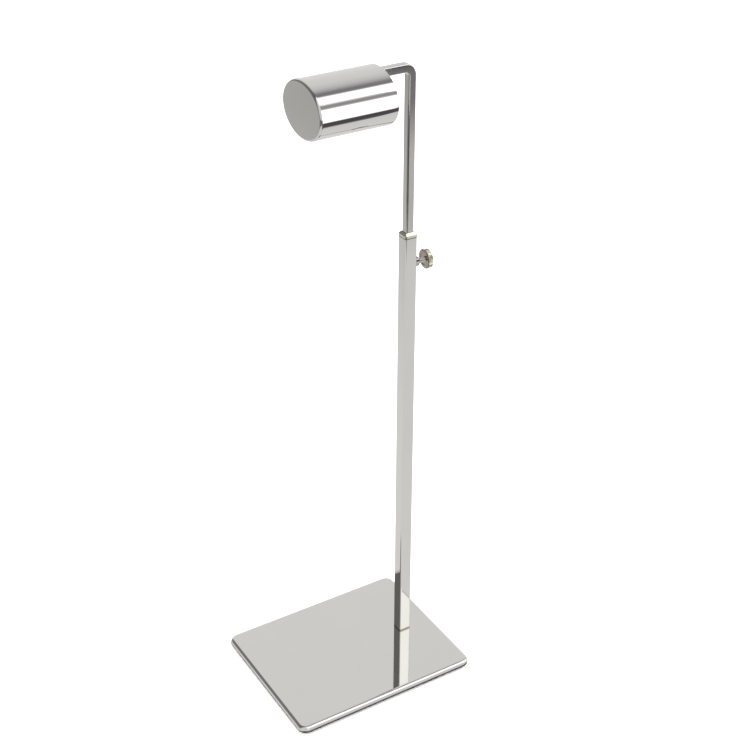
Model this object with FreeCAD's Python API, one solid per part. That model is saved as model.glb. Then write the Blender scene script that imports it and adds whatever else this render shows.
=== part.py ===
import FreeCAD, Part
import math
import os

# Height-adjustable countertop display stand. A weighted rectangular base carries a square post.
# A thinner square mast slides in the post, turns forward at the top and carries an oval drum.
# A thumb screw behind the post clamps the mast.
#
# Frame: the origin is on the ground under the centre of the base, +Z is up, the drum faces -Y,
# and the thumb screw points to +Y. All sizes are in millimetres.

# Base
base_width = 161.0          # along X
base_depth = 198.5          # along Y
base_height = 7.4           # underside of the cover to its top
base_corner = 9.5           # corner radius seen from above
base_top_round = 4.1        # radius of the cover's upper edge
base_bottom_round = 2.5     # radius of the rolled lower edge
cover_sheet = 1.0           # sheet that the cover is pressed from
hem_width = 8.0             # how far the rolled hem reaches in under the weight
weight_gap = 0.5            # between the weight and the cover's side walls
pad_gap = 0.5               # between the underside sheet and the hem
pad_corner = 4.0
foot_height = 1.5
foot_diameter = 9.0
foot_side_inset = 7.0       # centre of a foot from the base's long sides
foot_end_inset = 10.2       # and from its short ends
foot_chamfer = 0.3

# Post
post_y = 65.5               # post axis behind the centre of the base
post_side = 12.7
post_wall = 1.2
post_corner = 1.4
post_length = 454.0
plug_length = 25.0
plug_corner = 0.9

# Bolt that holds the post down
bolt_diameter = 6.0
bolt_length = 20.0          # under the head
bolt_head_diameter = 13.6
bolt_head_height = 2.6
bolt_socket_flats = 4.0
bolt_socket_depth = 1.5
washer_thickness = 0.8
washer_diameter = 11.8
bolt_clearance = 0.3        # around the shank in plain holes
head_clearance = 0.7        # around the head in its counterbore
head_recess = 0.1           # head below the weight's underside
thread_clearance = 0.03     # between a thread's outer diameter and the tapped hole

# Collar and guide at the top of the post
collar_height = 5.2
collar_overhang = 0.15      # how far the collar stands out past the post on each side
collar_round = 1.4
collar_neck = 6.0           # part of the collar inside the post
collar_play = 0.2           # between the collar and the mast
guide_length = 14.0
slide_clearance = 0.05      # running fit of the mast in its guide, and of the glide in the post

# Clamp
clamp_below_top = 27.2      # screw axis below the top of the post
clamp_hole_clearance = 0.2  # around the screw in the post's wall
boss_diameter = 9.5
boss_length = 4.5
boss_chamfer = 0.7
screw_diameter = 5.0
screw_clearance = 0.05      # running fit of the screw in its boss
knob_diameter = 19.0
knob_thickness = 5.2
knob_standoff = 11.3        # inner face of the knob behind the post
knob_teeth = 50
knob_tooth_depth = 0.45
knob_chamfer = 0.8
knob_dish_diameter = 12.0
knob_dish_depth = 0.6
knob_floor = 1.3            # metal left over the end of the screw
tip_relief = 0.2            # how far the pad's disc stays inside the screw's outline
tip_length = 1.7
tip_gap = 0.05              # pad to mast, and pad to screw
tip_spigot_diameter = 2.0
tip_spigot_length = 3.0
tip_spigot_clearance = 0.05

# Mast
mast_side = 8.0
mast_corner = 1.4
mast_height = 620.8         # centre of the arm above the ground
mast_engaged = 150.0        # length of the mast inside the post at this height
bend_radius = 6.8           # on the centre line
arm_inside = 26.0           # length of the arm inside the drum
glide_length = 12.0
glide_socket = 5.0
glide_corner = 1.0
glide_screw_diameter = 3.0
glide_screw_length = 14.0
glide_screw_head = 5.6
glide_screw_head_height = 1.7
glide_socket_flats = 2.0
glide_socket_depth = 1.2
tapped_spare = 1.0          # depth of a tapped hole past the end of its screw

# Drum
drum_width = 66.0           # long axis of the oval
drum_height = 50.8          # short axis of the oval
drum_front = -40.4          # front face along Y
drum_length = 74.6
drum_wall = 1.0
face_thickness = 2.7        # front disc, to the end of the drum's tube
face_round = 2.4            # soft rim of the front disc
back_thickness = 1.5
back_round = 0.6
arm_top_gap = 1.4           # between the arm and the inside of the drum above it
lid_depth = 4.0             # how far the front disc's rim reaches into the drum
lid_wall = 1.0
lid_gap = 0.05
saddle_length = 24.0
saddle_floor = 2.2
saddle_wall = 1.8
saddle_wall_height = 5.0
saddle_tab_drop = 8.0
saddle_tab_thickness = 1.5
saddle_screw_diameter = 4.0
saddle_screw_length = 8.0   # under the head
saddle_screw_spacing = 12.0
saddle_screw_clearance = 0.25
saddle_screw_head_diameter = 7.6
saddle_screw_head_height = 2.6
saddle_socket_flats = 2.5
saddle_socket_depth = 1.4
saddle_washer_diameter = 8.6
saddle_washer_thickness = 0.8
arm_play = 0.05             # between the arm and the hole or channel that it sits in

# Places that follow from the sizes
base_bottom = foot_height
base_top = base_bottom + base_height
weight_bottom = base_bottom + cover_sheet
weight_top = base_top - cover_sheet
post_top = base_top + post_length
post_bore = post_side - 2 * post_wall
post_rear = post_y + post_side / 2
clamp_z = post_top - clamp_below_top
mast_bottom = post_top - mast_engaged
mast_rear = post_y + mast_side / 2
drum_rear = drum_front + drum_length
arm_top = mast_height + mast_side / 2
drum_z = arm_top + arm_top_gap + drum_wall - drum_height / 2
arm_end = drum_rear - back_thickness - arm_inside
seat_z = mast_height - mast_side / 2
UP = FreeCAD.Vector(0, 0, 1)
REAR = FreeCAD.Vector(0, 1, 0)


def vector(x, y, z):
    return FreeCAD.Vector(x, y, z)


def edges_along(shape, direction):
    """Straight edges that run along a direction."""
    found = []
    for edge in shape.Edges:
        if edge.Curve.TypeId != "Part::GeomLine":
            continue
        if abs(abs(edge.Curve.Direction.dot(direction)) - 1) < 1e-6:
            found.append(edge)
    return found


def edges_at_height(shape, height):
    """Edges that lie in the level plane at a height."""
    found = []
    for edge in shape.Edges:
        box = edge.BoundBox
        if abs(box.ZMin - height) < 1e-6 and abs(box.ZMax - height) < 1e-6:
            found.append(edge)
    return found


def edges_at_depth(shape, depth):
    """Edges that lie in the plane across Y at a depth."""
    found = []
    for edge in shape.Edges:
        box = edge.BoundBox
        if abs(box.YMin - depth) < 1e-6 and abs(box.YMax - depth) < 1e-6:
            found.append(edge)
    return found


def slab(width, depth, corner, low, high, x=0.0, y=0.0):
    """Upright rectangular block with rounded upright edges, centred on x, y."""
    block = Part.makeBox(width, depth, high - low, vector(x - width / 2, y - depth / 2, low))
    return block.makeFillet(corner, edges_along(block, UP))


def post_bar(side, corner, low, high):
    """Square bar on the post's axis."""
    return slab(side, side, corner, low, high, 0.0, post_y)


def upright_rod(diameter, low, high, x=0.0, y=0.0):
    return Part.makeCylinder(diameter / 2, high - low, vector(x, y, low), UP)


def clamp_rod(diameter, front, rear):
    """Round bar on the thumb screw's axis."""
    return Part.makeCylinder(diameter / 2, rear - front, vector(0, front, clamp_z), REAR)


def oval_bar(width, height, front, rear):
    """Bar of oval section along Y, on the drum's axis."""
    section = Part.Ellipse(vector(0, 0, 0), width / 2, height / 2)
    face = Part.Face(Part.Wire([section.toShape()]))
    bar = face.extrude(vector(0, 0, rear - front))
    bar.rotate(vector(0, 0, 0), vector(1, 0, 0), -90)
    bar.translate(vector(0, front, drum_z))
    return bar


def hex_prism(flats, low, high, x=0.0, y=0.0):
    """Upright hexagonal prism across its flats."""
    reach = flats / math.sqrt(3)
    corners = []
    for step in range(7):
        angle = math.radians(60 * step)
        corners.append(vector(x + reach * math.cos(angle), y + reach * math.sin(angle), low))
    return Part.Face(Part.makePolygon(corners)).extrude(vector(0, 0, high - low))


def base_block(inset):
    """The base's outer form, or the room inside its sheet, at an inset from the outside."""
    low = base_bottom + inset
    high = base_top - inset
    block = slab(base_width - 2 * inset, base_depth - 2 * inset, base_corner - inset, low, high)
    block = block.makeFillet(base_top_round - inset, edges_at_height(block, high))
    return block.makeFillet(base_bottom_round - inset, edges_at_height(block, low))


def underside_opening(gap):
    """The window inside the rolled hem, from the ground side of the sheet to its inner side."""
    width = base_width - 2 * hem_width - 2 * gap
    depth = base_depth - 2 * hem_width - 2 * gap
    return slab(width, depth, pad_corner, base_bottom, weight_bottom)


def make_base_cover():
    """Sheet pressed over the weight, with its lower edge rolled in under it."""
    cover = base_block(0.0).cut(base_block(cover_sheet))
    cover = cover.cut(underside_opening(0.0))
    hole = upright_rod(bolt_diameter + 2 * bolt_clearance, weight_top, base_top, 0.0, post_y)
    return cover.cut(hole)


def make_base_weight():
    """Flat bar that gives the base its mass, counterbored for the bolt's head."""
    width = base_width - 2 * cover_sheet - 2 * weight_gap
    depth = base_depth - 2 * cover_sheet - 2 * weight_gap
    weight = slab(width, depth, base_corner - cover_sheet, weight_bottom, weight_top)
    top_round = base_top_round - cover_sheet
    bottom_round = base_bottom_round - cover_sheet
    weight = weight.makeFillet(top_round, edges_at_height(weight, weight_top))
    weight = weight.makeFillet(bottom_round, edges_at_height(weight, weight_bottom))
    hole = upright_rod(bolt_diameter + 2 * bolt_clearance, weight_bottom, weight_top, 0.0, post_y)
    recess_top = weight_bottom + head_recess + bolt_head_height + washer_thickness
    recess = upright_rod(bolt_head_diameter + 2 * head_clearance, weight_bottom, recess_top, 0.0, post_y)
    return weight.cut(hole).cut(recess)


def make_base_pad():
    """Foam sheet stuck to the weight inside the hem."""
    return underside_opening(pad_gap)


def make_rubber_feet():
    """Four thin feet, one near each corner."""
    feet = []
    for side in (-1, 1):
        for end in (-1, 1):
            x = side * (base_width / 2 - foot_side_inset)
            y = end * (base_depth / 2 - foot_end_inset)
            foot = upright_rod(foot_diameter, 0.0, foot_height, x, y)
            feet.append(foot.makeChamfer(foot_chamfer, edges_at_height(foot, 0.0)))
    return Part.makeCompound(feet)


def bolt_seat():
    """Height of the face under the bolt's head."""
    return weight_bottom + head_recess + bolt_head_height


def make_base_bolt():
    """Flanged button-head screw, put in from below."""
    seat = bolt_seat()
    head = upright_rod(bolt_head_diameter, seat - bolt_head_height, seat, 0.0, post_y)
    head = head.makeChamfer(bolt_head_height / 2, edges_at_height(head, seat - bolt_head_height))
    socket_low = seat - bolt_head_height
    socket = hex_prism(bolt_socket_flats, socket_low, socket_low + bolt_socket_depth, 0.0, post_y)
    shank = upright_rod(bolt_diameter, seat, seat + bolt_length, 0.0, post_y)
    return head.fuse(shank).removeSplitter().cut(socket)


def make_lock_washer():
    """Washer between the bolt's head and the bottom of the counterbore."""
    seat = bolt_seat()
    ring = upright_rod(washer_diameter, seat, seat + washer_thickness, 0.0, post_y)
    hole = upright_rod(bolt_diameter + 2 * bolt_clearance, seat, seat + washer_thickness, 0.0, post_y)
    return ring.cut(hole)


def make_foot_plug():
    """Tapped square plug brazed into the foot of the post."""
    plug = post_bar(post_bore, plug_corner, base_top, base_top + plug_length)
    bolt_end = bolt_seat() + bolt_length
    thread_top = bolt_end + tapped_spare
    thread = upright_rod(bolt_diameter + 2 * thread_clearance, base_top, thread_top, 0.0, post_y)
    return plug.cut(thread)


def make_outer_tube():
    """Square post tube, drilled at the back for the pressure pad."""
    tube = post_bar(post_side, post_corner, base_top, post_top)
    bore = post_bar(post_bore, post_corner - post_wall, base_top, post_top)
    hole = clamp_rod(screw_diameter + 2 * clamp_hole_clearance, post_y, post_rear)
    return tube.cut(bore).cut(hole)


def make_tube_collar():
    """Turned-over cap ring with a neck inside the post."""
    side = post_side + 2 * collar_overhang
    ring = post_bar(side, post_corner, post_top, post_top + collar_height)
    ring = ring.makeFillet(collar_round, edges_at_height(ring, post_top + collar_height))
    neck = post_bar(post_bore, plug_corner, post_top - collar_neck, post_top)
    opening = post_bar(
        mast_side + 2 * collar_play,
        mast_corner + collar_play,
        post_top - collar_neck,
        post_top + collar_height,
    )
    return ring.fuse(neck).cut(opening)


def make_guide_sleeve():
    """Nylon liner under the collar, which the mast runs in."""
    high = post_top - collar_neck
    low = high - guide_length
    sleeve = post_bar(post_bore, plug_corner, low, high)
    opening = post_bar(mast_side + 2 * slide_clearance, mast_corner + slide_clearance, low, high)
    return sleeve.cut(opening)


def make_clamp_boss():
    """Tapped round boss brazed to the back of the post."""
    boss = clamp_rod(boss_diameter, post_rear, post_rear + boss_length)
    boss = boss.makeChamfer(boss_chamfer, edges_at_depth(boss, post_rear + boss_length))
    thread = clamp_rod(screw_diameter + 2 * screw_clearance, post_rear, post_rear + boss_length)
    return boss.cut(thread)


def screw_tip():
    """Depth of the screw's front end, behind the pressure pad."""
    return mast_rear + tip_gap + tip_length + tip_gap


def knob_front():
    return post_rear + knob_standoff


def make_thumb_screw():
    """Threaded shank, bored at its tip for the pad's spigot."""
    end = knob_front() + knob_thickness - knob_dish_depth - knob_floor
    shank = clamp_rod(screw_diameter, screw_tip(), end)
    bore_diameter = tip_spigot_diameter + 2 * tip_spigot_clearance
    bore_end = screw_tip() + tip_spigot_length
    return shank.cut(clamp_rod(bore_diameter, screw_tip(), bore_end))


def make_pressure_pad():
    """Soft pad that presses on the mast and doesn't turn with the screw."""
    front = mast_rear + tip_gap
    disc = clamp_rod(screw_diameter - 2 * tip_relief, front, front + tip_length)
    spigot_end = front + tip_length + tip_spigot_length - tip_gap
    return disc.fuse(clamp_rod(tip_spigot_diameter, front + tip_length, spigot_end))


def knob_blank():
    """Turned blank of the knob: a disc with chamfered rims, dished on both faces."""
    front = knob_front()
    rear = front + knob_thickness
    blank = clamp_rod(knob_diameter, front, rear)
    rims = edges_at_depth(blank, front) + edges_at_depth(blank, rear)
    blank = blank.makeChamfer(knob_chamfer, rims)
    blank = blank.cut(clamp_rod(knob_dish_diameter, front, front + knob_dish_depth))
    return blank.cut(clamp_rod(knob_dish_diameter, rear - knob_dish_depth, rear))


def knurl_prism():
    """Toothed prism that cuts the straight knurl into the blank."""
    front = knob_front()
    corners = []
    for step in range(2 * knob_teeth + 1):
        angle = math.pi * step / knob_teeth
        radius = knob_diameter / 2
        if step % 2:
            radius -= knob_tooth_depth
        corners.append(vector(radius * math.cos(angle), front, clamp_z + radius * math.sin(angle)))
    return Part.Face(Part.makePolygon(corners)).extrude(vector(0, knob_thickness, 0))


def make_thumb_knob():
    """Knurled knob fixed on the end of the screw."""
    knob = knob_blank().common(knurl_prism())
    end = knob_front() + knob_thickness - knob_dish_depth - knob_floor
    return knob.cut(clamp_rod(screw_diameter, knob_front(), end))


def mast_profile():
    """Rounded square wire of the mast's section at the lower end of the bend."""
    bar = post_bar(mast_side, mast_corner, mast_height - bend_radius, mast_height)
    for face in bar.Faces:
        box = face.BoundBox
        if box.ZMax < mast_height - bend_radius + 1e-6:
            return Part.Face(face.OuterWire)


def saddle_screw_places():
    """Where the two saddle screws stand along the arm."""
    middle = drum_rear - back_thickness - saddle_length / 2
    return (middle - saddle_screw_spacing / 2, middle + saddle_screw_spacing / 2)


def make_inner_rod():
    """Square mast, bent forward at the top into the arm, tapped at both ends."""
    leg = post_bar(mast_side, mast_corner, mast_bottom, mast_height - bend_radius)
    pivot = vector(0, post_y - bend_radius, mast_height - bend_radius)
    bend = mast_profile().revolve(pivot, vector(1, 0, 0), 90)
    arm_start = post_y - bend_radius
    arm = Part.makeBox(
        mast_side,
        arm_start - arm_end,
        mast_side,
        vector(-mast_side / 2, arm_end, mast_height - mast_side / 2),
    )
    arm = arm.makeFillet(mast_corner, edges_along(arm, REAR))
    rod = leg.fuse([bend, arm]).removeSplitter()
    tapped = glide_screw_length - (glide_length - glide_socket) + tapped_spare
    low_thread = glide_screw_diameter + 2 * thread_clearance
    rod = rod.cut(upright_rod(low_thread, mast_bottom, mast_bottom + tapped, 0.0, post_y))
    arm_thread = saddle_screw_diameter + 2 * thread_clearance
    depth = saddle_screw_length - saddle_floor - saddle_washer_thickness + tapped_spare
    for place in saddle_screw_places():
        rod = rod.cut(upright_rod(arm_thread, seat_z, seat_z + depth, 0.0, place))
    return rod


def glide_bottom():
    return mast_bottom - (glide_length - glide_socket)


def glide_screw_head_cone():
    """Countersunk head of the glide's screw."""
    low = glide_bottom()
    return Part.makeCone(
        glide_screw_head / 2,
        glide_screw_diameter / 2,
        glide_screw_head_height,
        vector(0, post_y, low),
        UP,
    )


def make_rod_glide():
    """Nylon shoe on the lower end of the mast, which runs in the post."""
    low = glide_bottom()
    side = post_bore - 2 * slide_clearance
    glide = post_bar(side, glide_corner, low, low + glide_length)
    socket = post_bar(mast_side, mast_corner, mast_bottom, low + glide_length)
    hole = upright_rod(glide_screw_diameter + 2 * thread_clearance, low, mast_bottom, 0.0, post_y)
    return glide.cut(socket).cut(hole).cut(glide_screw_head_cone())


def make_glide_screw():
    """Countersunk screw up into the end of the mast."""
    low = glide_bottom()
    shank = upright_rod(glide_screw_diameter, low, low + glide_screw_length, 0.0, post_y)
    screw = shank.fuse(glide_screw_head_cone()).removeSplitter()
    return screw.cut(hex_prism(glide_socket_flats, low, low + glide_socket_depth, 0.0, post_y))


def make_drum_shell():
    """Oval tube that the goods rest on."""
    front = drum_front + face_thickness
    rear = drum_rear - back_thickness
    outside = oval_bar(drum_width, drum_height, front, rear)
    inside = oval_bar(drum_width - 2 * drum_wall, drum_height - 2 * drum_wall, front, rear)
    return outside.cut(inside)


def make_front_disc():
    """Flat front with a soft rim, and a wall behind it that presses into the drum."""
    back = drum_front + face_thickness
    plate = oval_bar(drum_width, drum_height, drum_front, back)
    plate = plate.makeFillet(face_round, edges_at_depth(plate, drum_front))
    inset = 2 * (drum_wall + lid_gap)
    rim = oval_bar(drum_width - inset, drum_height - inset, back, back + lid_depth)
    inset += 2 * lid_wall
    room = oval_bar(drum_width - inset, drum_height - inset, back, back + lid_depth)
    return plate.fuse(rim.cut(room))


def arm_hole(front, rear):
    """Square passage for the arm, with its play."""
    side = mast_side + 2 * arm_play
    hole = Part.makeBox(side, rear - front, side, vector(-side / 2, front, mast_height - side / 2))
    return hole.makeFillet(mast_corner, edges_along(hole, REAR))


def make_rear_disc():
    """Flat back of the drum, brazed on, with the square hole that the arm enters by."""
    front = drum_rear - back_thickness
    plate = oval_bar(drum_width, drum_height, front, drum_rear)
    plate = plate.makeFillet(back_round, edges_at_depth(plate, drum_rear))
    return plate.cut(arm_hole(front, drum_rear))


def saddle_hole_diameter():
    return saddle_screw_diameter + 2 * saddle_screw_clearance


def make_drum_saddle():
    """Channel under the arm with a tab brazed to the back of the drum."""
    rear = drum_rear - back_thickness
    front = rear - saddle_length
    inner = mast_side + 2 * arm_play
    outer = inner + 2 * saddle_wall
    low = seat_z - saddle_floor
    block_height = saddle_floor + saddle_wall_height
    block = Part.makeBox(outer, saddle_length, block_height, vector(-outer / 2, front, low))
    channel = Part.makeBox(inner, saddle_length, saddle_wall_height, vector(-inner / 2, front, seat_z))
    tab = Part.makeBox(
        outer,
        saddle_tab_thickness,
        saddle_tab_drop,
        vector(-outer / 2, rear - saddle_tab_thickness, low - saddle_tab_drop),
    )
    saddle = block.cut(channel).fuse(tab).removeSplitter()
    for place in saddle_screw_places():
        saddle = saddle.cut(upright_rod(saddle_hole_diameter(), low, seat_z, 0.0, place))
    return saddle


def make_saddle_screws():
    """Two pan-head screws up through the saddle into the arm."""
    seat = seat_z - saddle_floor - saddle_washer_thickness
    screws = []
    for place in saddle_screw_places():
        low = seat - saddle_screw_head_height
        head = upright_rod(saddle_screw_head_diameter, low, seat, 0.0, place)
        head = head.makeFillet(saddle_screw_head_height / 2, edges_at_height(head, low))
        shank = upright_rod(saddle_screw_diameter, seat, seat + saddle_screw_length, 0.0, place)
        socket = hex_prism(saddle_socket_flats, low, low + saddle_socket_depth, 0.0, place)
        screws.append(head.fuse(shank).removeSplitter().cut(socket))
    return Part.makeCompound(screws)


def make_saddle_washers():
    """A washer under each saddle screw."""
    high = seat_z - saddle_floor
    low = high - saddle_washer_thickness
    washers = []
    for place in saddle_screw_places():
        ring = upright_rod(saddle_washer_diameter, low, high, 0.0, place)
        washers.append(ring.cut(upright_rod(saddle_hole_diameter(), low, high, 0.0, place)))
    return Part.makeCompound(washers)


pieces = {
    "base_cover": make_base_cover,
    "base_weight": make_base_weight,
    "base_pad": make_base_pad,
    "rubber_feet": make_rubber_feet,
    "base_bolt": make_base_bolt,
    "lock_washer": make_lock_washer,
    "foot_plug": make_foot_plug,
    "outer_tube": make_outer_tube,
    "tube_collar": make_tube_collar,
    "guide_sleeve": make_guide_sleeve,
    "clamp_boss": make_clamp_boss,
    "pressure_pad": make_pressure_pad,
    "thumb_screw": make_thumb_screw,
    "thumb_knob": make_thumb_knob,
    "inner_rod": make_inner_rod,
    "rod_glide": make_rod_glide,
    "glide_screw": make_glide_screw,
    "drum_shell": make_drum_shell,
    "front_disc": make_front_disc,
    "rear_disc": make_rear_disc,
    "drum_saddle": make_drum_saddle,
    "saddle_screws": make_saddle_screws,
    "saddle_washers": make_saddle_washers,
}

os.makedirs("parts", exist_ok=True)
for name, make in pieces.items():
    shape = make()
    shape.exportStep(f"parts/{name}.step")
    print(name, "solids", len(shape.Solids), "valid", shape.isValid(), "volume", round(shape.Volume, 1))
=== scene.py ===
import bpy
import math

from mathutils import Matrix, Vector


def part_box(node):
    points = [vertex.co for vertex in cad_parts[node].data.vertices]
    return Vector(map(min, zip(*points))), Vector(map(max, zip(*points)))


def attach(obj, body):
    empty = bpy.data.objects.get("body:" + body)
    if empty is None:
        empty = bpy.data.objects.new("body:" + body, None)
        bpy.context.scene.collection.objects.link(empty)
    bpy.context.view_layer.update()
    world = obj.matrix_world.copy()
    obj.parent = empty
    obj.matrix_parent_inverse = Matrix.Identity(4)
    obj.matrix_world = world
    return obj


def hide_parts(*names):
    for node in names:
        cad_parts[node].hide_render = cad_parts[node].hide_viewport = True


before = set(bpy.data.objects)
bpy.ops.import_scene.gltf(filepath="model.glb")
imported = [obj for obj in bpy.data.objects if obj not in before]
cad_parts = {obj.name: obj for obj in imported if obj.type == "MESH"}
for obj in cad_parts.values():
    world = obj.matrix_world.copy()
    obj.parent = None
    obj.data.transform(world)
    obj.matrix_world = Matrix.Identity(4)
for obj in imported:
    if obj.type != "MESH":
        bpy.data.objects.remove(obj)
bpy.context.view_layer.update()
scene = bpy.context.scene


# Camera. It stands to the front right of the stand and looks down on it, with its axis passing
# the post a third of a metre above the table.
CAMERA_AZIMUTH = math.radians(58.555)
CAMERA_ELEVATION = math.radians(30.825)
CAMERA_ROLL = math.radians(0.18)
CAMERA_DISTANCE = 1.35848
CAMERA_AIM = Vector((0, 0.03138, 0.32834))
CAMERA_LENS = 69.7425

toward_camera = Vector((
    math.sin(CAMERA_AZIMUTH) * math.cos(CAMERA_ELEVATION),
    -math.cos(CAMERA_AZIMUTH) * math.cos(CAMERA_ELEVATION),
    math.sin(CAMERA_ELEVATION),
))
camera_data = bpy.data.cameras.new("camera")
camera_data.lens = CAMERA_LENS
camera_data.sensor_width = 36
camera_data.clip_start = 0.05
camera = bpy.data.objects.new("camera", camera_data)
scene.collection.objects.link(camera)
camera.matrix_world = (
    Matrix.Translation(CAMERA_AIM + CAMERA_DISTANCE * toward_camera)
    @ toward_camera.to_track_quat("Z", "Y").to_matrix().to_4x4()
    @ Matrix.Rotation(CAMERA_ROLL, 4, "Z")
)
scene.camera = camera
scene.view_settings.view_transform = "Standard"


# Studio. A white table runs out of sight under an even white sky, with one soft light overhead.
# A polished stand shows the room, so a room that only reflections see is built as well: walls
# with a white screen and a dim left front, a table top, and a few dark cards to the right.
MM = 0.001
SKY_STRENGTH = 2.2
TABLE_WHITE = (0.93, 0.93, 0.93, 1)
TABLE_REACH = 25.0
TABLE_DROP = 0.4 * MM
OVERHEAD_POWER = 2.0
OVERHEAD_SIZE = 1.6
OVERHEAD_PLACE = Vector((0.5, 0.6, 2.2))
OVERHEAD_AIM = Vector((0, 0, 0.2))
WHITE = 2.0


class Value:
    """One socket of a shader. Arithmetic on it adds the Math nodes."""

    def __init__(self, finish, socket):
        self.finish = finish
        self.socket = socket

    def math(self, operation, *terms):
        return self.finish.node("Math", {"operation": operation}, dict(enumerate((self, *terms))))

    def reflected(self, operation, first):
        return self.finish.node("Math", {"operation": operation}, {0: first, 1: self})

    def __add__(self, other):
        return self.math("ADD", other)

    def __sub__(self, other):
        return self.math("SUBTRACT", other)

    def __rsub__(self, other):
        return self.reflected("SUBTRACT", other)

    def __mul__(self, other):
        return self.math("MULTIPLY", other)

    def __truediv__(self, other):
        return self.math("DIVIDE", other)

    def __pow__(self, other):
        return self.math("POWER", other)

    def __abs__(self):
        return self.math("ABSOLUTE")

    __radd__ = __add__
    __rmul__ = __mul__


class Finish:
    """One material, and the nodes of its surface."""

    def __init__(self, name):
        self.material = bpy.data.materials.new(name)
        self.material.use_nodes = True
        self.tree = self.material.node_tree
        self.tree.nodes.clear()
        self.output = self.tree.nodes.new("ShaderNodeOutputMaterial")

    def node(self, kind, settings=None, sockets=None, out=0):
        """Adds a node: its settings, then its sockets' values or links. Gives one of its outputs."""
        node = self.tree.nodes.new("ShaderNode" + kind)
        for name, setting in (settings or {}).items():
            if name == "stops":
                self.set_stops(node.color_ramp, setting)
            else:
                setattr(node, name, setting)
        for name, value in (sockets or {}).items():
            if isinstance(value, Value):
                self.tree.links.new(value.socket, node.inputs[name])
            else:
                node.inputs[name].default_value = value
        return Value(self, node.outputs[out])

    def set_stops(self, ramp, stops):
        while len(ramp.elements) < len(stops):
            ramp.elements.new(1.0)
        for element, (place, tone) in zip(ramp.elements, stops):
            element.position = place
            element.color = (*tone, 1.0) if hasattr(tone, "__len__") else (tone, tone, tone, 1.0)

    def ramp(self, share, stops):
        return self.node("ValToRGB", {"stops": stops}, {"Fac": share})

    def blend(self, share, first, second, way="MIX"):
        """Colour between two others by a share."""
        settings = {"data_type": "RGBA", "blend_type": way}
        return self.node("Mix", settings, {0: share, 6: first, 7: second}, out=2)

    def place(self):
        return self.node("TexCoord", out="Object")

    def axes(self, place):
        across = self.node("SeparateXYZ", None, {0: place}, out="X")
        outputs = across.socket.node.outputs
        return [across, Value(self, outputs["Y"]), Value(self, outputs["Z"])]

    def surface(self, **sockets):
        """Principled surface with its sockets by name, spaces written as underscores."""
        names = {name.replace("_", " "): value for name, value in sockets.items()}
        return self.finished(self.node("BsdfPrincipled", None, names))

    def glow(self, colour, strength):
        return self.node("Emission", None, {"Color": colour, "Strength": strength})

    def finished(self, shader):
        self.tree.links.new(shader.socket, self.output.inputs["Surface"])
        return self.material


def flat_sheet(name, corners):
    """Sheet of the studio, from its four corners."""
    mesh = bpy.data.meshes.new(name)
    mesh.from_pydata(corners, [], [(0, 1, 2, 3)])
    sheet = bpy.data.objects.new(name, mesh)
    scene.collection.objects.link(sheet)
    return sheet


def table_top(name, height):
    turns = ((-1, -1), (1, -1), (1, 1), (-1, 1))
    return flat_sheet(name, [(x * TABLE_REACH, y * TABLE_REACH, height) for x, y in turns])


def only_in_reflections(thing):
    """Hides a thing of the room from all but the polished surfaces."""
    thing.visible_camera = False
    thing.visible_diffuse = False
    thing.visible_shadow = False
    thing.visible_transmission = False
    thing.visible_volume_scatter = False


def room_tone(tone):
    """Grey of the room as a share of white: its darker parts lean a little to violet."""
    depth = max(0.0, 1 - tone / 0.8)
    share = tone / WHITE
    return (share * (1 - 0.05 * depth), share * (1 - 0.12 * depth), share)


world = bpy.data.worlds.new("sky")
world.use_nodes = True
world.node_tree.nodes["Background"].inputs["Color"].default_value = (1, 1, 1, 1)
world.node_tree.nodes["Background"].inputs["Strength"].default_value = SKY_STRENGTH
scene.world = world

table = table_top("table", -TABLE_DROP)
table.visible_glossy = False
table_white = Finish("table_white")
table.data.materials.append(table_white.surface(Base_Color=TABLE_WHITE, Roughness=0.9))

overhead_data = bpy.data.lights.new("overhead", "AREA")
overhead_data.energy = OVERHEAD_POWER
overhead_data.size = OVERHEAD_SIZE
overhead = bpy.data.objects.new("overhead", overhead_data)
overhead.location = OVERHEAD_PLACE
overhead.rotation_euler = (OVERHEAD_AIM - OVERHEAD_PLACE).to_track_quat("-Z", "Y").to_euler()
overhead.visible_glossy = False
scene.collection.objects.link(overhead)

# Walls and screens, by the angle round the Y axis from +X upwards. The shares of the room's width
# and depth say where its left half takes over and how much the front is dimmed on either side.
ROOM_RADIUS = 3.0
ROOM_CENTRE = 0.55
WALL_TONES = (
    (-180, 1.45), (-120, 1.0), (-40, 0.80), (-34, WHITE), (77, WHITE), (81, 0.55), (84, 0.30), (90, 0.28),
    (95, 0.42), (101, 0.60), (110, 0.76), (124, 0.88), (150, 0.93), (176, 0.95), (180, 1.45),
)
LEFT_HALF = ((0.42, 1.0), (0.50, 0.0))
FRONT_LEFT_TONES = ((0.0, 0.26), (0.37, 0.26), (0.45, 1.0), (1.0, 1.0))
FRONT_RIGHT_TONES = ((0.0, 0.45), (0.40, 0.45), (0.49, 1.0), (1.0, 1.0))
bpy.ops.mesh.primitive_uv_sphere_add(segments=64, ring_count=32, radius=ROOM_RADIUS)
room = bpy.context.object
room.name = "room_walls"
room.location = (0, 0, ROOM_CENTRE)
only_in_reflections(room)
walls = Finish("room_walls")
across, along, up = walls.axes(walls.place())
turn = up.math("ARCTAN2", across) / (2 * math.pi) + 0.5
round_tone = walls.ramp(turn, [((angle + 180) / 360, room_tone(tone)) for angle, tone in WALL_TONES])
depth = along / (2 * ROOM_RADIUS) + 0.5
left_tone = walls.blend(1.0, round_tone, walls.ramp(depth, FRONT_LEFT_TONES), "MULTIPLY")
right_tone = walls.blend(1.0, round_tone, walls.ramp(depth, FRONT_RIGHT_TONES), "MULTIPLY")
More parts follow.
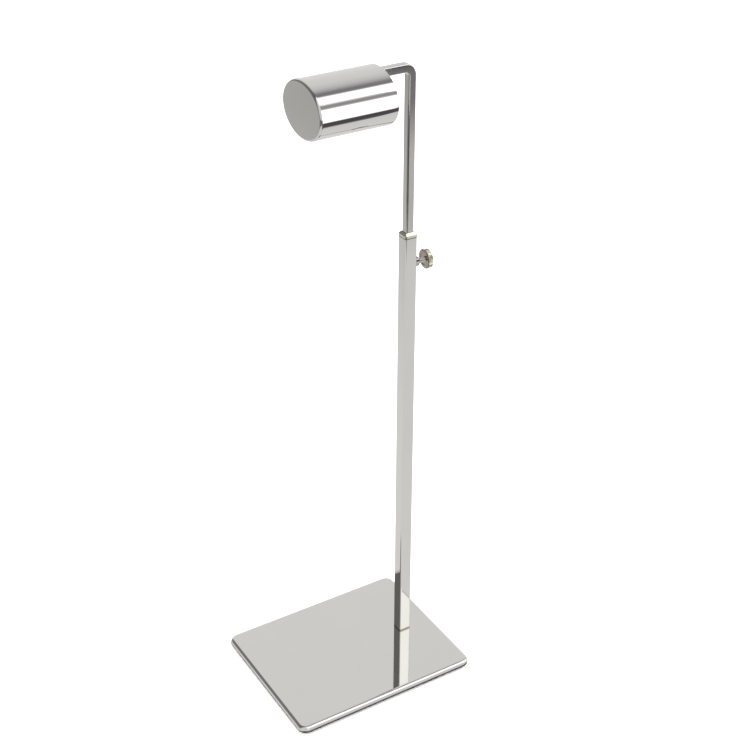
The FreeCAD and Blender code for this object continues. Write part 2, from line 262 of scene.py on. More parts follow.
left_half = walls.ramp(across / (2 * ROOM_RADIUS) + 0.5, LEFT_HALF)
tone = walls.blend(left_half, right_tone, left_tone)
room.data.materials.append(walls.finished(walls.glow(tone, WHITE)))

# Table top as the reflections see it: white far to the right, dimmer towards the front on the
# left, dark far out in front, and a painted contact shadow close to the base. Places are metres
# from the centre.
MIRROR_DROP = 0.2 * MM
TABLE_TINT = (1.0, 0.99, 0.975, 1)
TABLE_SPAN = 2.5
TABLE_TONES = (
    (-2.5, 1.35), (-1.9, 1.2), (-1.5, 0.95), (-1.2, 0.92), (0.0, 0.90), (0.50, 0.88), (0.80, 0.84),
    (0.95, 0.84), (1.15, 1.4), (1.40, WHITE), (2.5, WHITE),
)
FRONT_TONES = ((-1.0, 0.52), (-0.80, 0.60), (-0.62, 0.72), (-0.45, 0.82), (-0.28, 0.95), (-0.12, 1.0))
FRONT_LEFT = ((-0.45, 1.0), (-0.15, 0.0))
CONTACT_SHADOW_REACH = 6 * MM
CONTACT_SHADOW_SIDE_SHARE = 0.42
CONTACT_SHADOW_TONES = ((0.0, 0.05), (0.25, 0.10), (0.45, 0.55), (0.8, 1.0))
FAR_TONE = 0.22
FAR_OUT = ((0.90, 0.0), (1.02, 1.0), (1.9, 1.0))
FAR_RIGHT = ((-0.55, 0.0), (-0.35, 1.0))
FAR_FRONT = ((0.05, 1.0), (0.30, 0.0))
mirror_table = table_top("table_in_reflections", -MIRROR_DROP)
only_in_reflections(mirror_table)
base_low, base_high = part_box("base_cover")
shade = Finish("table_in_reflections")
across, along = shade.axes(shade.place())[:2]


def by_place(place, stops, span=1.0):
    """Tone or share by a place on the table, from stops between -span and span."""
    return shade.ramp(place / (2 * span) + 0.5, [((stop / span + 1) / 2, tone) for stop, tone in stops])


sideways = by_place(across, [(x, room_tone(tone)) for x, tone in TABLE_TONES], TABLE_SPAN)
frontways = shade.blend(1.0, sideways, by_place(along, FRONT_TONES), "MULTIPLY")
# Painted contact shadow: the reflected table darkens within a few millimetres of the base's outline.
past_x = (abs(across) - base_high.x).math("MAXIMUM", 0.0) * CONTACT_SHADOW_SIDE_SHARE
past_y = (abs(along) - base_high.y).math("MAXIMUM", 0.0)
painted_contact_shadow = shade.ramp((past_x * past_x + past_y * past_y) ** 0.5 / CONTACT_SHADOW_REACH, CONTACT_SHADOW_TONES)
tone = shade.blend(by_place(across, FRONT_LEFT), sideways, frontways)
tone = shade.blend(1.0, tone, painted_contact_shadow, "MULTIPLY")
tone = shade.blend(1.0, tone, TABLE_TINT, "MULTIPLY")
away = (across * across + along * along) ** 0.5
far = by_place(away, FAR_OUT, TABLE_SPAN) * by_place(across, FAR_RIGHT) * by_place(along, FAR_FRONT)
tone = shade.blend(far, tone, (*room_tone(FAR_TONE), 1))
mirror_table.data.materials.append(shade.finished(shade.glow(tone, WHITE)))


# Cards that stand upright to the right of the stand and that only reflections see: the drum, the
# mast and the arm show them as dark bands, and the base's edge shows a pale one.
def upright_card(name, x, front, rear, tone, cover_stops):
    """Card across X. How much it covers follows stops of height, from its lower to its upper edge."""
    low = cover_stops[0][0]
    high = cover_stops[-1][0]
    card = flat_sheet(name, [(x, front, low), (x, rear, low), (x, rear, high), (x, front, high)])
    only_in_reflections(card)
    paper = Finish(name)
    share = (paper.axes(paper.place())[2] - low) / (high - low)
    cover = paper.ramp(share, [((stop - low) / (high - low), amount) for stop, amount in cover_stops])
    clear = paper.node("BsdfTransparent")
    shown = paper.glow((*room_tone(tone), 1), WHITE)
    card.data.materials.append(paper.finished(paper.node("MixShader", None, {0: cover, 1: clear, 2: shown})))


DRUM_COVER = ((0.335, 0.0), (0.390, 0.9), (0.410, 1.0), (0.500, 1.0), (0.512, 0.0))
MAST_COVER = ((0.330, 0.0), (0.440, 0.55), (0.500, 1.0), (0.540, 1.0))
ARM_COVER = ((0.540, 1.0), (0.680, 1.0), (0.700, 0.0))
STRIP_COVER = ((0.730, 0.0), (0.762, 0.80), (0.790, 0.93), (0.840, 0.90), (0.880, 0.60), (0.930, 0.0))
EDGE_COVER = ((0.0, 1.0), (0.130, 1.0), (0.155, 0.0))
upright_card("drum_card", 0.20, -0.08, 0.178, 0.10, DRUM_COVER)
upright_card("mast_card", 0.21, 0.148, 0.45, 0.27, MAST_COVER)
upright_card("arm_card", 0.21, 0.148, 0.45, 0.06, ARM_COVER)
upright_card("strip_card", 0.25, -0.05, 0.225, 0.25, STRIP_COVER)
upright_card("base_card", 0.30, -0.10, 0.45, 0.86, EDGE_COVER)


# Ballast. A flat steel bar gives the base its weight. It is left as rolled, with its mill scale,
# and a sheet of black foam is stuck under it to close the base.
def bar_finish():
    steel = Finish("rolled_bar")
    place = steel.place()
    drawn_out = steel.node("Mapping", None, {"Vector": place, "Scale": (1, 0.08, 1)})
    scale = steel.node("TexNoise", None, {"Vector": drawn_out, "Scale": 260.0, "Detail": 5.0})
    patches = steel.node("TexNoise", None, {"Vector": place, "Scale": 45.0, "Detail": 4.0})
    tones = ((0.35, (0.20, 0.20, 0.21)), (0.65, (0.38, 0.38, 0.39)))
    colour = steel.ramp(patches * 0.6 + scale * 0.4, tones)
    rough = scale * 0.25 + 0.4
    normal = steel.node("Bump", None, {"Height": scale, "Distance": 0.02 * MM})
    return steel.surface(Base_Color=colour, Metallic=1.0, Roughness=rough, Normal=normal)


def foam_finish():
    foam = Finish("closed_cell_foam")
    place = foam.place()
    cells = foam.node("TexVoronoi", None, {"Vector": place, "Scale": 1400.0})
    dust = foam.node("TexNoise", None, {"Vector": place, "Scale": 60.0, "Detail": 4.0})
    colour = foam.blend(dust, (0.018, 0.018, 0.018, 1), (0.040, 0.039, 0.038, 1))
    normal = foam.node("Bump", None, {"Height": cells, "Distance": 0.08 * MM})
    return foam.surface(Base_Color=colour, Roughness=dust * 0.15 + 0.78, Normal=normal)


def finish_node(node, material):
    """Gives a CAD node, kept as it is, one of the finishes."""
    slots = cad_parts[node].data.materials
    slots.clear()
    slots.append(material)


finish_node("base_weight", bar_finish())
finish_node("base_pad", foam_finish())


# Base cover. One sheet of stainless steel, pressed over the ballast and rolled in under it, then
# buffed to a mirror. The edge turns over in a soft round, and the four corners are rounded too.
COVER_SHEET = 1.0 * MM
COVER_CORNER = 9.5 * MM
COVER_TOP_ROUND = 4.1 * MM
COVER_BOTTOM_ROUND = 2.5 * MM
HEM_WIDTH = 8.0 * MM
HEM_CORNER = 4.0 * MM
HOLD = 0.25 * MM
SHARP_EDGE = math.radians(40)
STEEL_TONE = (0.665, 0.655, 0.635)


def rounded_rectangle(width, depth, corner, steps=12):
    """Outline in a plane, with a point held on each flat just off every corner's arc."""
    outline = []
    for quarter in range(4):
        start = quarter * math.pi / 2
        side_x = 1 if quarter in (0, 3) else -1
        side_y = 1 if quarter in (0, 1) else -1
        centre = Vector((side_x * (width / 2 - corner), side_y * (depth / 2 - corner)))
        arc = []
        for step in range(steps + 1):
            angle = start + step * math.pi / 2 / steps
            arc.append(centre + corner * Vector((math.cos(angle), math.sin(angle))))
        before = Vector((math.sin(start), -math.cos(start))) * HOLD
        after = Vector((-math.cos(start), -math.sin(start))) * HOLD
        outline.extend([arc[0] + before, *arc, arc[-1] + after])
    return outline


def skin(name, rings, joined=False):
    """Mesh stretched through rings of points: its ends are capped, or joined to each other."""
    count = len(rings[0])
    faces = []
    for here in range(len(rings) if joined else len(rings) - 1):
        low = here * count
        high = (here + 1) % len(rings) * count
        for point in range(count):
            beside = (point + 1) % count
            faces.append((low + point, low + beside, high + beside, high + point))
    if not joined:
        faces.append(tuple(reversed(range(count))))
        faces.append(tuple(range((len(rings) - 1) * count, len(rings) * count)))
    mesh = bpy.data.meshes.new(name)
    mesh.from_pydata([point for ring in rings for point in ring], [], faces)
    piece = bpy.data.objects.new(name, mesh)
    scene.collection.objects.link(piece)
    volume = sum(face.area * face.normal.dot(face.center - Vector(rings[0][0])) for face in mesh.polygons)
    if volume < 0:
        mesh.flip_normals()
    mesh.shade_smooth()
    mesh.set_sharp_from_angle(angle=SHARP_EDGE)
    weigh = piece.modifiers.new("face_normals", "WEIGHTED_NORMAL")
    weigh.keep_sharp = True
    weigh.weight = 100
    return piece


def stands_for(piece, node, body, material):
    """The piece takes a CAD node's place on its body."""
    piece.data.materials.append(material)
    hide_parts(node)
    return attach(piece, body)


def polished_finish(name, tone, roughness, grain, wave, smear=0.02):
    """Buffed metal: grain draws its fine lines out along one axis, and wave is its unevenness."""
    metal = Finish(name)
    place = metal.place()
    clouds = metal.node("TexNoise", None, {"Vector": place, "Scale": 22.0, "Detail": 2.0})
    colour = metal.blend(clouds, (*[channel * 0.965 for channel in tone], 1), (*tone, 1))
    drawn_out = metal.node("Mapping", None, {"Vector": place, "Scale": grain})
    lines = metal.node("TexNoise", None, {"Vector": drawn_out, "Scale": 2800.0, "Roughness": 0.6})
    smears = metal.node("TexNoise", None, {"Vector": place, "Scale": 55.0, "Detail": 4.0, "Roughness": 0.55})
    dulled = metal.ramp(smears, ((0.42, 0.0), (0.72, 1.0)))
    rough = dulled * smear + lines * (0.35 * roughness) + 0.8 * roughness
    buffed = metal.node("Bump", None, {"Height": lines, "Distance": 0.0006 * MM})
    swell = metal.node("TexNoise", None, {"Vector": place, "Scale": 18.0, "Detail": 0.0})
    normal = metal.node("Bump", None, {"Height": swell, "Distance": wave, "Normal": buffed})
    return metal.surface(Base_Color=colour, Metallic=1.0, Roughness=rough, Normal=normal)


def cover_ring(inset, height, corner=None):
    width = base_high.x - base_low.x - 2 * inset
    depth = base_high.y - base_low.y - 2 * inset
    outline = rounded_rectangle(width, depth, COVER_CORNER - inset if corner is None else corner)
    return [(point.x, point.y, height) for point in outline]


def cover_arc(inset, height, radius, start, end, steps=10):
    """Rings round one edge of the cover, from a start angle to an end angle above the outside."""
    rings = []
    for step in range(steps + 1):
        angle = math.radians(start + (end - start) * step / steps)
        rings.append(cover_ring(inset - radius * math.cos(angle), height + radius * math.sin(angle)))
    return rings


top_centre = base_high.z - COVER_TOP_ROUND
bottom_centre = base_low.z + COVER_BOTTOM_ROUND
cover_rings = [cover_ring(COVER_TOP_ROUND + HOLD, base_high.z - COVER_SHEET)]
cover_rings += cover_arc(COVER_TOP_ROUND, top_centre, COVER_TOP_ROUND - COVER_SHEET, 90, 0)
cover_rings += cover_arc(COVER_BOTTOM_ROUND, bottom_centre, COVER_BOTTOM_ROUND - COVER_SHEET, 0, -90)
cover_rings.append(cover_ring(HEM_WIDTH, base_low.z + COVER_SHEET, HEM_CORNER))
cover_rings.append(cover_ring(HEM_WIDTH, base_low.z, HEM_CORNER))
cover_rings += cover_arc(COVER_BOTTOM_ROUND, bottom_centre, COVER_BOTTOM_ROUND, -90, 0)
cover_rings += cover_arc(COVER_TOP_ROUND, top_centre, COVER_TOP_ROUND, 0, 90)
cover_rings.append(cover_ring(COVER_TOP_ROUND + HOLD, base_high.z))
mirror_steel = polished_finish("mirror_steel", STEEL_TONE, 0.035, (1, 0.12, 1), 0.03 * MM)
stands_for(skin("polished_cover", cover_rings), "base_cover", "stand", mirror_steel)


# Feet. Four thin pads of moulded black rubber, one near each corner, hold the cover's edge just
# off the table.
def rubber_finish():
    rubber = Finish("moulded_rubber")
    place = rubber.place()
    bloom = rubber.node("TexNoise", None, {"Vector": place, "Scale": 180.0, "Detail": 5.0})
    grain = rubber.node("TexNoise", None, {"Vector": place, "Scale": 3500.0, "Detail": 2.0})
    colour = rubber.blend(bloom, (0.012, 0.012, 0.012, 1), (0.034, 0.033, 0.032, 1))
    normal = rubber.node("Bump", None, {"Height": grain, "Distance": 0.02 * MM})
    return rubber.surface(Base_Color=colour, Roughness=bloom * 0.2 + 0.55, Normal=normal)


finish_node("rubber_feet", rubber_finish())


# Bolt, lock washer and foot plug. A zinc-plated screw comes up from below through the ballast,
# over a lock washer, into a tapped steel plug brazed in the foot of the post.
def zinc_finish():
    zinc = Finish("zinc_plate")
    place = zinc.place()
    crystals = zinc.node("TexVoronoi", None, {"Vector": place, "Scale": 900.0}, out="Color")
    spangle = zinc.node("RGBToBW", None, {0: crystals})
    stains = zinc.node("TexNoise", None, {"Vector": place, "Scale": 130.0, "Detail": 4.0})
    colour = zinc.blend(stains, (0.52, 0.55, 0.58, 1), (0.66, 0.66, 0.62, 1))
    rough = spangle * 0.14 + stains * 0.12 + 0.22
    normal = zinc.node("Bump", None, {"Height": spangle, "Distance": 0.004 * MM})
    return zinc.surface(Base_Color=colour, Metallic=1.0, Roughness=rough, Normal=normal)


zinc_plate = zinc_finish()
for node in ("base_bolt", "lock_washer", "foot_plug"):
    finish_node(node, zinc_plate)


# Post. A square stainless tube with small rounded edges, drawn and then polished along its length.
# It stands on the cover, where a thin brown line of heat tint shows, and is drilled at the back.
TUBE_CORNER = 1.4 * MM
TUBE_WALL = 1.2 * MM
PAD_HOLE = 5.4 * MM
TINT_HEIGHT = 2.4 * MM
tube_low, tube_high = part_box("outer_tube")
screw_low, screw_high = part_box("thumb_screw")
post_centre = (tube_low + tube_high) / 2
tube_side = tube_high.x - tube_low.x
tube_bore = tube_side - 2 * TUBE_WALL
clamp_height = (screw_low.z + screw_high.z) / 2


def square_ring(centre, side, corner, height, steps=8):
    outline = rounded_rectangle(side, side, corner, steps)
    return [(centre.x + point.x, centre.y + point.y, height) for point in outline]


def turned(name, profile, joined=False, steps=64):
    """Piece turned on the thumb screw's axis, from (depth, radius) pairs."""
    rings = []
    for depth, radius in profile:
        angles = [2 * math.pi * step / steps for step in range(steps)]
        rings.append([(radius * math.cos(a), depth, clamp_height + radius * math.sin(a)) for a in angles])
    return skin(name, rings, joined)


def drilled(piece, cutter):
    """Takes the cutter out of the piece's mesh, and removes the cutter."""
    drill = piece.modifiers.new("drill", "BOOLEAN")
    drill.operation = "DIFFERENCE"
    drill.solver = "EXACT"
    drill.object = cutter
    piece.modifiers.move(len(piece.modifiers) - 1, 0)
    weigh = piece.modifiers["face_normals"]
    weigh.show_viewport = False
    whole = piece.data
    piece.data = bpy.data.meshes.new_from_object(piece.evaluated_get(bpy.context.evaluated_depsgraph_get()))
    bpy.data.meshes.remove(whole)
    piece.data.set_sharp_from_angle(angle=SHARP_EDGE)
    piece.modifiers.remove(drill)
    weigh.show_viewport = True
    bpy.data.objects.remove(cutter)
    return piece


def tube_finish():
    steel = Finish("drawn_tube_steel")
    place = steel.place()
    up = steel.axes(place)[2]
    clouds = steel.node("TexNoise", None, {"Vector": place, "Scale": 33.0, "Detail": 2.0})
    uneven = steel.node("TexNoise", None, {"Vector": place, "Scale": 400.0, "Detail": 3.0})
    above_seam = (up - base_high.z) / TINT_HEIGHT + uneven * 0.3 - 0.15
    tint = steel.ramp(above_seam, ((0.0, 1.0), (0.45, 0.8), (1.0, 0.0)))
    plain = steel.blend(clouds, (0.64, 0.632, 0.612, 1), (0.675, 0.665, 0.645, 1))
    colour = steel.blend(tint, plain, (0.26, 0.20, 0.14, 1))
    drawn_out = steel.node("Mapping", None, {"Vector": place, "Scale": (1, 1, 0.02)})
    lines = steel.node("TexNoise", None, {"Vector": drawn_out, "Scale": 2000.0, "Detail": 2.0})
    smears = steel.node("TexNoise", None, {"Vector": place, "Scale": 70.0, "Detail": 4.0})
    dulled = steel.ramp(smears, ((0.4, 0.0), (0.75, 1.0)))
    rough = dulled * 0.03 + lines * 0.02 + tint * 0.2 + 0.035
    drawn = steel.node("Bump", None, {"Height": lines, "Distance": 0.0008 * MM})
    long_swell = steel.node("Mapping", None, {"Vector": place, "Scale": (1, 1, 0.25)})
    swell = steel.node("TexNoise", None, {"Vector": long_swell, "Scale": 33.0, "Detail": 0.0})
    normal = steel.node("Bump", None, {"Height": swell, "Distance": 0.02 * MM, "Normal": drawn})
    return steel.surface(Base_Color=colour, Metallic=1.0, Roughness=rough, Normal=normal)


tube_rings = []
for height in (tube_low.z, tube_low.z + HOLD, tube_high.z - HOLD, tube_high.z):
    tube_rings.append(square_ring(post_centre, tube_side, TUBE_CORNER, height))
for height in (tube_high.z, tube_low.z):
    tube_rings.append(square_ring(post_centre, tube_bore, TUBE_CORNER - TUBE_WALL, height))
pad_hole = turned("pad_hole", ((post_centre.y, PAD_HOLE / 2), (tube_high.y + MM, PAD_HOLE / 2)))
post_tube = drilled(skin("post_tube", tube_rings, joined=True), pad_hole)
stands_for(post_tube, "outer_tube", "stand", tube_finish())


# Collar and guide. A ring of nickel-plated brass closes the top of the post: its upper edge
# slopes in towards the mast and its neck sits in the tube, above a liner of natural nylon.
COLLAR_SLOPE = ((0.0, 2.3 * MM), (0.15 * MM, 2.05 * MM), (1.95 * MM, 0.15 * MM), (2.10 * MM, 0.0))
COLLAR_TOP_CORNER = 0.3 * MM
COLLAR_GROOVE = 0.2 * MM
COLLAR_GROOVE_HEIGHT = 0.5 * MM
COLLAR_PLAY = 0.2 * MM
COLLAR_BREAK = 0.15 * MM
NECK_CORNER = 0.9 * MM
MAST_CORNER = 1.4 * MM
collar_low, collar_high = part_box("tube_collar")
mast_low, mast_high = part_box("inner_rod")
mast_side = mast_high.x - mast_low.x
collar_side = collar_high.x - collar_low.x
collar_bore = mast_side + 2 * COLLAR_PLAY
bore_corner = MAST_CORNER + COLLAR_PLAY

groove_side = collar_side - 2 * COLLAR_GROOVE
groove_top = tube_high.z + COLLAR_GROOVE_HEIGHT
collar_rings = [
    square_ring(post_centre, groove_side, TUBE_CORNER, tube_high.z),
    square_ring(post_centre, groove_side, TUBE_CORNER, groove_top),
    square_ring(post_centre, collar_side, TUBE_CORNER, groove_top + COLLAR_GROOVE),
]
for inset, drop in COLLAR_SLOPE:
    corner = max(TUBE_CORNER - inset, COLLAR_TOP_CORNER)
    collar_rings.append(square_ring(post_centre, collar_side - 2 * inset, corner, collar_high.z - drop))
collar_rings += [
    square_ring(post_centre, collar_bore + 2 * COLLAR_BREAK, bore_corner, collar_high.z),
    square_ring(post_centre, collar_bore, bore_corner, collar_high.z - COLLAR_BREAK),
    square_ring(post_centre, collar_bore, bore_corner, collar_low.z),
    square_ring(post_centre, tube_bore, NECK_CORNER, collar_low.z),
    square_ring(post_centre, tube_bore, NECK_CORNER, tube_high.z),
]


def collar_finish():
    plate = Finish("collar_plate")
    place = plate.place()
    up = plate.axes(place)[2]
    clouds = plate.node("TexNoise", None, {"Vector": place, "Scale": 260.0, "Detail": 3.0})
    nickel = plate.blend(clouds, (0.66, 0.65, 0.54, 1), (0.74, 0.72, 0.65, 1))
    # Painted shadow of the gap above the post: the collar's colour darkens towards its lower edge, and the
    # same share makes it rougher there.
    gap_shade = plate.ramp((up - tube_high.z) / (2 * COLLAR_GROOVE_HEIGHT), ((0.45, 1.0), (1.0, 0.0)))
    colour = plate.blend(gap_shade, nickel, (0.10, 0.08, 0.06, 1))
    drawn_out = plate.node("Mapping", None, {"Vector": place, "Scale": (1, 1, 0.05)})
    lines = plate.node("TexNoise", None, {"Vector": drawn_out, "Scale": 2200.0, "Detail": 2.0})
    normal = plate.node("Bump", None, {"Height": lines, "Distance": 0.001 * MM})
    rough = clouds * 0.06 + gap_shade * 0.3 + 0.05
    return plate.surface(Base_Color=colour, Metallic=1.0, Roughness=rough, Normal=normal)


top_collar = skin("top_collar", collar_rings, joined=True)
stands_for(top_collar, "tube_collar", "stand", collar_finish())


def nylon_finish():
    nylon = Finish("natural_nylon")
    place = nylon.place()
    flow = nylon.node("TexNoise", None, {"Vector": place, "Scale": 120.0, "Detail": 3.0})
    marks = nylon.node("TexNoise", None, {"Vector": place, "Scale": 2500.0, "Detail": 2.0})
    colour = nylon.blend(flow, (0.78, 0.76, 0.68, 1), (0.88, 0.87, 0.82, 1))
    normal = nylon.node("Bump", None, {"Height": marks, "Distance": 0.006 * MM})
    return nylon.surface(Base_Color=colour, Roughness=flow * 0.2 + 0.35, Normal=normal)


natural_nylon = nylon_finish()
finish_node("guide_sleeve", natural_nylon)


# Boss and pressure pad. A round brass boss is brazed to the back of the post and nickel plated.
# The thumb screw runs in it, and pushes a small nylon pad against the mast.
BOSS_ROUND = 0.7 * MM
BOSS_BEAD = 0.5 * MM
BOSS_MOUTH = 0.35 * MM
SCREW_PLAY = 0.05 * MM
boss_low, boss_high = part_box("clamp_boss")
boss_radius = (boss_high.x - boss_low.x) / 2
screw_radius = (screw_high.x - screw_low.x) / 2

boss_profile = [(boss_low.y, boss_radius + BOSS_BEAD)]
for step in range(1, 5):
    angle = math.pi / 2 * step / 4
    bead = BOSS_BEAD * (1 - math.sin(angle))
    boss_profile.append((boss_low.y + BOSS_BEAD * (1 - math.cos(angle)), boss_radius + bead))
for step in range(7):
    angle = math.pi / 2 * step / 6
    depth = boss_high.y - BOSS_ROUND * (1 - math.sin(angle))
    boss_profile.append((depth, boss_radius - BOSS_ROUND * (1 - math.cos(angle))))
boss_profile += [
    (boss_high.y, screw_radius + BOSS_MOUTH),
    (boss_high.y - BOSS_MOUTH, screw_radius + SCREW_PLAY),
    (boss_low.y, screw_radius + SCREW_PLAY),
]
# The boss is given a much darker plate than the knob: painted shade, standing in for the dark that the boss
# shows.
shaded_boss_plate = polished_finish("shaded_boss_plate", (0.42, 0.39, 0.38), 0.12, (1, 0.15, 1), 0.01 * MM)
clamp_boss = turned("clamp_boss_turned", boss_profile, joined=True)
stands_for(clamp_boss, "clamp_boss", "stand", shaded_boss_plate)
finish_node("pressure_pad", natural_nylon)


# Thumb screw. Its shank is rolled with a rounded metric thread, and its tip is bored for the
# spigot of the pad. It is plated with the knob.
THREAD_PITCH = 0.8 * MM
THREAD_DEPTH = 0.42 * MM
THREAD_STEPS = 36
TIP_BORE = 2.1 * MM
TIP_BORE_DEPTH = 3.0 * MM


def threaded_shank(front, rear):
    rings = [[], []]
    for step in range(THREAD_STEPS):
        angle = 2 * math.pi * step / THREAD_STEPS
        x = TIP_BORE / 2 * math.cos(angle)
        z = clamp_height + TIP_BORE / 2 * math.sin(angle)
        rings[0].append((x, front + TIP_BORE_DEPTH, z))
        rings[1].append((x, front, z))
    count = round((rear - front) / (THREAD_PITCH / 12))
    for ring in range(count + 1):
        depth = front + (rear - front) * ring / count
        lead = min(1.0, (depth - front) / THREAD_PITCH)
        circle = []
        for step in range(THREAD_STEPS):
            angle = 2 * math.pi * step / THREAD_STEPS
            crest = 0.5 + 0.5 * math.cos(2 * math.pi * depth / THREAD_PITCH - angle)
            radius = screw_radius - THREAD_DEPTH * (1 - crest * lead)
            circle.append((radius * math.cos(angle), depth, clamp_height + radius * math.sin(angle)))
        rings.append(circle)
    return skin("thumb_screw_shank", rings)


shank = threaded_shank(screw_low.y, screw_high.y)
knob_plate = polished_finish("knob_plate", (0.74, 0.715, 0.66), 0.09, (1, 0.15, 1), 0.01 * MM)
stands_for(shank, "thumb_screw", "clamp_screw", knob_plate)


# Knob. A brass disc turned with a shallow dish in each face and a straight knurl rolled round
# its rim, then nickel plated. The crests are worn through to the brass, the faces are coloured
# darker than the rim, and a ring of painted shade runs round the border of each face.
KNOB_TEETH = 50
KNOB_TOOTH_DEPTH = 0.45 * MM
KNOB_CHAMFER = 0.8 * MM
KNOB_DISH_DEPTH = 0.6 * MM
KNOB_DISH_RADIUS = 6.0 * MM
KNOB_BREAK = 0.3 * MM
knob_low, knob_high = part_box("thumb_knob")
knob_radius = (knob_high.z - knob_low.z) / 2


def knurled_ring(depth, radius, cut):
    """Ring with a tooth's crest and root in turn, cut in by a share of the tooth's depth."""
    ring = []
    for step in range(4 * KNOB_TEETH):
        angle = 2 * math.pi * (step + 0.5) / (4 * KNOB_TEETH)
        reach = radius - (KNOB_TOOTH_DEPTH * cut if step % 4 > 1 else 0.0)
        ring.append((reach * math.cos(angle), depth, clamp_height + reach * math.sin(angle)))
    return ring


knob_profile = (
    (screw_high.y, screw_radius, 0),
    (knob_low.y + KNOB_DISH_DEPTH, screw_radius, 0),
    (knob_low.y + KNOB_DISH_DEPTH, KNOB_DISH_RADIUS - KNOB_BREAK, 0),
    (knob_low.y + KNOB_BREAK, KNOB_DISH_RADIUS, 0),
    (knob_low.y, KNOB_DISH_RADIUS + KNOB_BREAK, 0),
    (knob_low.y, knob_radius - KNOB_CHAMFER, 0),
    (knob_low.y + 0.5 * KNOB_CHAMFER, knob_radius - 0.4 * KNOB_CHAMFER, 0),
    (knob_low.y + KNOB_CHAMFER, knob_radius, 1),
    (knob_high.y - KNOB_CHAMFER, knob_radius, 1),
    (knob_high.y - 0.5 * KNOB_CHAMFER, knob_radius - 0.4 * KNOB_CHAMFER, 0),
    (knob_high.y, knob_radius - KNOB_CHAMFER, 0),
    (knob_high.y, KNOB_DISH_RADIUS + KNOB_BREAK, 0),
    (knob_high.y - KNOB_BREAK, KNOB_DISH_RADIUS, 0),
    (knob_high.y - KNOB_DISH_DEPTH, KNOB_DISH_RADIUS - KNOB_BREAK, 0),
)


def knob_finish():
    plate = Finish("worn_knob_plate")
    place = plate.place()
    across, _, up = plate.axes(place)
    above = up - clamp_height
    radius = (across * across + above * above) ** 0.5
    scuffs = plate.node("TexNoise", None, {"Vector": place, "Scale": 500.0, "Detail": 4.0})
    crests = plate.ramp((radius - knob_radius) / KNOB_TOOTH_DEPTH + 1.0, ((0.55, 0.0), (1.0, 1.0)))
    worn = crests * scuffs
    nickel = plate.blend(scuffs, (0.74, 0.72, 0.63, 1), (0.80, 0.785, 0.71, 1))
    # The faces are coloured darker than the rim.
    darker_face_colour = plate.blend(scuffs, (0.34, 0.31, 0.26, 1), (0.44, 0.41, 0.35, 1))
    face = plate.ramp(radius / knob_radius, ((0.86, 1.0), (0.93, 0.0)))
    # Painted shade: a dark ring near the rim, round the border of each face.
    painted_rim_shade = plate.ramp(radius / knob_radius, ((0.86, 0.0), (0.90, 1.0), (0.94, 1.0), (0.97, 0.0)))
    colour = plate.blend(face, plate.blend(worn, nickel, (0.76, 0.68, 0.48, 1)), darker_face_colour)
    colour = plate.blend(painted_rim_shade, colour, (0.16, 0.14, 0.10, 1))
    marks = (radius / (0.12 * MM)).math("SINE")
    rough = scuffs * 0.12 + worn * 0.1 + 0.12
    normal = plate.node("Bump", None, {"Height": marks, "Distance": 0.0015 * MM})
    return plate.surface(Base_Color=colour, Metallic=1.0, Roughness=rough, Normal=normal)


knob = skin("knurled_knob", [knurled_ring(*row) for row in knob_profile])
stands_for(knob, "thumb_knob", "clamp_screw", knob_finish())


# Mast and arm. One square stainless bar, bent forward in a tight round at the top. It is finished
# along its length with a coarser wheel than the post, so it reflects less sharply. A nylon shoe
# on its lower end, held by one screw, keeps it straight in the post.
BEND_RADIUS = 6.8 * MM
BEND_STEPS = 24
X = Vector((1, 0, 0))
Y = Vector((0, 1, 0))
Z = Vector((0, 0, 1))


def bar_section(origin, right, forward, steps=8):
    outline = rounded_rectangle(mast_side, mast_side, MAST_CORNER, steps)
    return [tuple(origin + right * point.x + forward * point.y) for point in outline]


def mast_finish():
    steel = Finish("mast_steel")
    place = steel.place()
    clouds = steel.node("TexNoise", None, {"Vector": place, "Scale": 50.0, "Detail": 3.0})
    colour = steel.blend(clouds, (0.56, 0.55, 0.525, 1), (0.62, 0.61, 0.585, 1))
    drawn_out = steel.node("Mapping", None, {"Vector": place, "Scale": (1, 1, 0.02)})
    lines = steel.node("TexNoise", None, {"Vector": drawn_out, "Scale": 1700.0, "Detail": 3.0})
    smears = steel.node("TexNoise", None, {"Vector": place, "Scale": 100.0, "Detail": 4.0})
    dulled = steel.ramp(smears, ((0.4, 0.0), (0.75, 1.0)))
    rough = dulled * 0.04 + lines * 0.05 + 0.075
    drawn = steel.node("Bump", None, {"Height": lines, "Distance": 0.0015 * MM})
    return steel.surface(Base_Color=colour, Metallic=1.0, Roughness=rough, Normal=drawn)


arm_height = mast_high.z - mast_side / 2
pivot = Vector((0, post_centre.y - BEND_RADIUS, arm_height - BEND_RADIUS))
mast_rings = [
    bar_section(Vector((0, post_centre.y, mast_low.z)), X, Y),
    bar_section(Vector((0, post_centre.y, pivot.z - 2 * HOLD)), X, Y),
]
for step in range(BEND_STEPS + 1):
    angle = math.pi / 2 * step / BEND_STEPS
    outward = Vector((0, math.cos(angle), math.sin(angle)))
    mast_rings.append(bar_section(pivot + BEND_RADIUS * outward, X, outward))
mast_rings += [
    bar_section(Vector((0, pivot.y - 2 * HOLD, arm_height)), X, Z),
    bar_section(Vector((0, mast_low.y, arm_height)), X, Z),
]
stands_for(skin("bent_mast", mast_rings), "inner_rod", "mast", mast_finish())
finish_node("rod_glide", natural_nylon)
finish_node("glide_screw", zinc_plate)


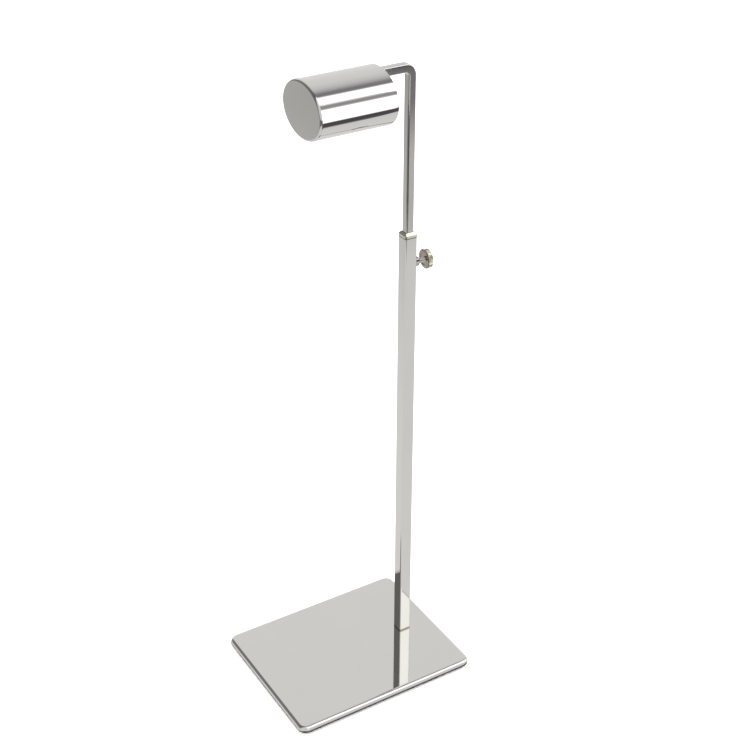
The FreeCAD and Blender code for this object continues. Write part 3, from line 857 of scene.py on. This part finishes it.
# Drum. An oval stainless tube that the glasses rest on, closed by two flat discs of the same
# outline. The front disc presses in and has a soft rim, the back one is brazed on, and all three
# are mirror polished.
DRUM_WALL = 1.0 * MM
FACE_ROUND = 2.4 * MM
LID_GAP = 0.05 * MM
OVAL_STEPS = 256
shell_low, shell_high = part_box("drum_shell")
face_low, face_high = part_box("front_disc")
drum_centre = (shell_low + shell_high) / 2


def oval_ring(inset, depth):
    """Oval outline of the drum across Y at a depth, set in from its outside."""
    half_width = (shell_high.x - shell_low.x) / 2
    half_height = (shell_high.z - shell_low.z) / 2
    ring = []
    for step in range(OVAL_STEPS):
        angle = 2 * math.pi * step / OVAL_STEPS
        across = math.cos(angle) / half_width
        up = math.sin(angle) / half_height
        scale = inset / math.hypot(across, up)
        x = drum_centre.x + half_width * math.cos(angle) - across * scale
        z = drum_centre.z + half_height * math.sin(angle) - up * scale
        ring.append((x, depth, z))
    return ring


shell_depths = (shell_low.y, shell_low.y + HOLD, shell_high.y - HOLD, shell_high.y)
shell_rings = [oval_ring(0, depth) for depth in shell_depths]
shell_rings += [oval_ring(DRUM_WALL, depth) for depth in (shell_high.y, shell_low.y)]
drum_steel = polished_finish("drum_steel", STEEL_TONE, 0.03, (1, 0.05, 1), 0.02 * MM)
oval_drum = skin("oval_drum", shell_rings, joined=True)
stands_for(oval_drum, "drum_shell", "mast", drum_steel)

face_rings = [oval_ring(FACE_ROUND + HOLD, face_low.y)]
for step in range(13):
    angle = math.pi / 2 * step / 12
    inset = FACE_ROUND * (1 - math.sin(angle))
    face_rings.append(oval_ring(inset, face_low.y + FACE_ROUND * (1 - math.cos(angle))))
face_rings += [
    oval_ring(0, shell_low.y),
    oval_ring(DRUM_WALL + LID_GAP, shell_low.y),
    oval_ring(DRUM_WALL + LID_GAP, face_high.y),
    oval_ring(2 * DRUM_WALL + LID_GAP, face_high.y),
    oval_ring(2 * DRUM_WALL + LID_GAP, shell_low.y),
]
disc_steel = polished_finish("disc_steel", (0.64, 0.632, 0.615), 0.07, (0.1, 1, 1), 0.01 * MM)
stands_for(skin("drum_face", face_rings), "front_disc", "mast", disc_steel)
finish_node("rear_disc", disc_steel)


# Saddle. A zinc-plated channel brazed inside the back disc holds the end of the arm, with two
# screws and washers from below.
for node in ("drum_saddle", "saddle_screws", "saddle_washers"):
    finish_node(node, zinc_plate)
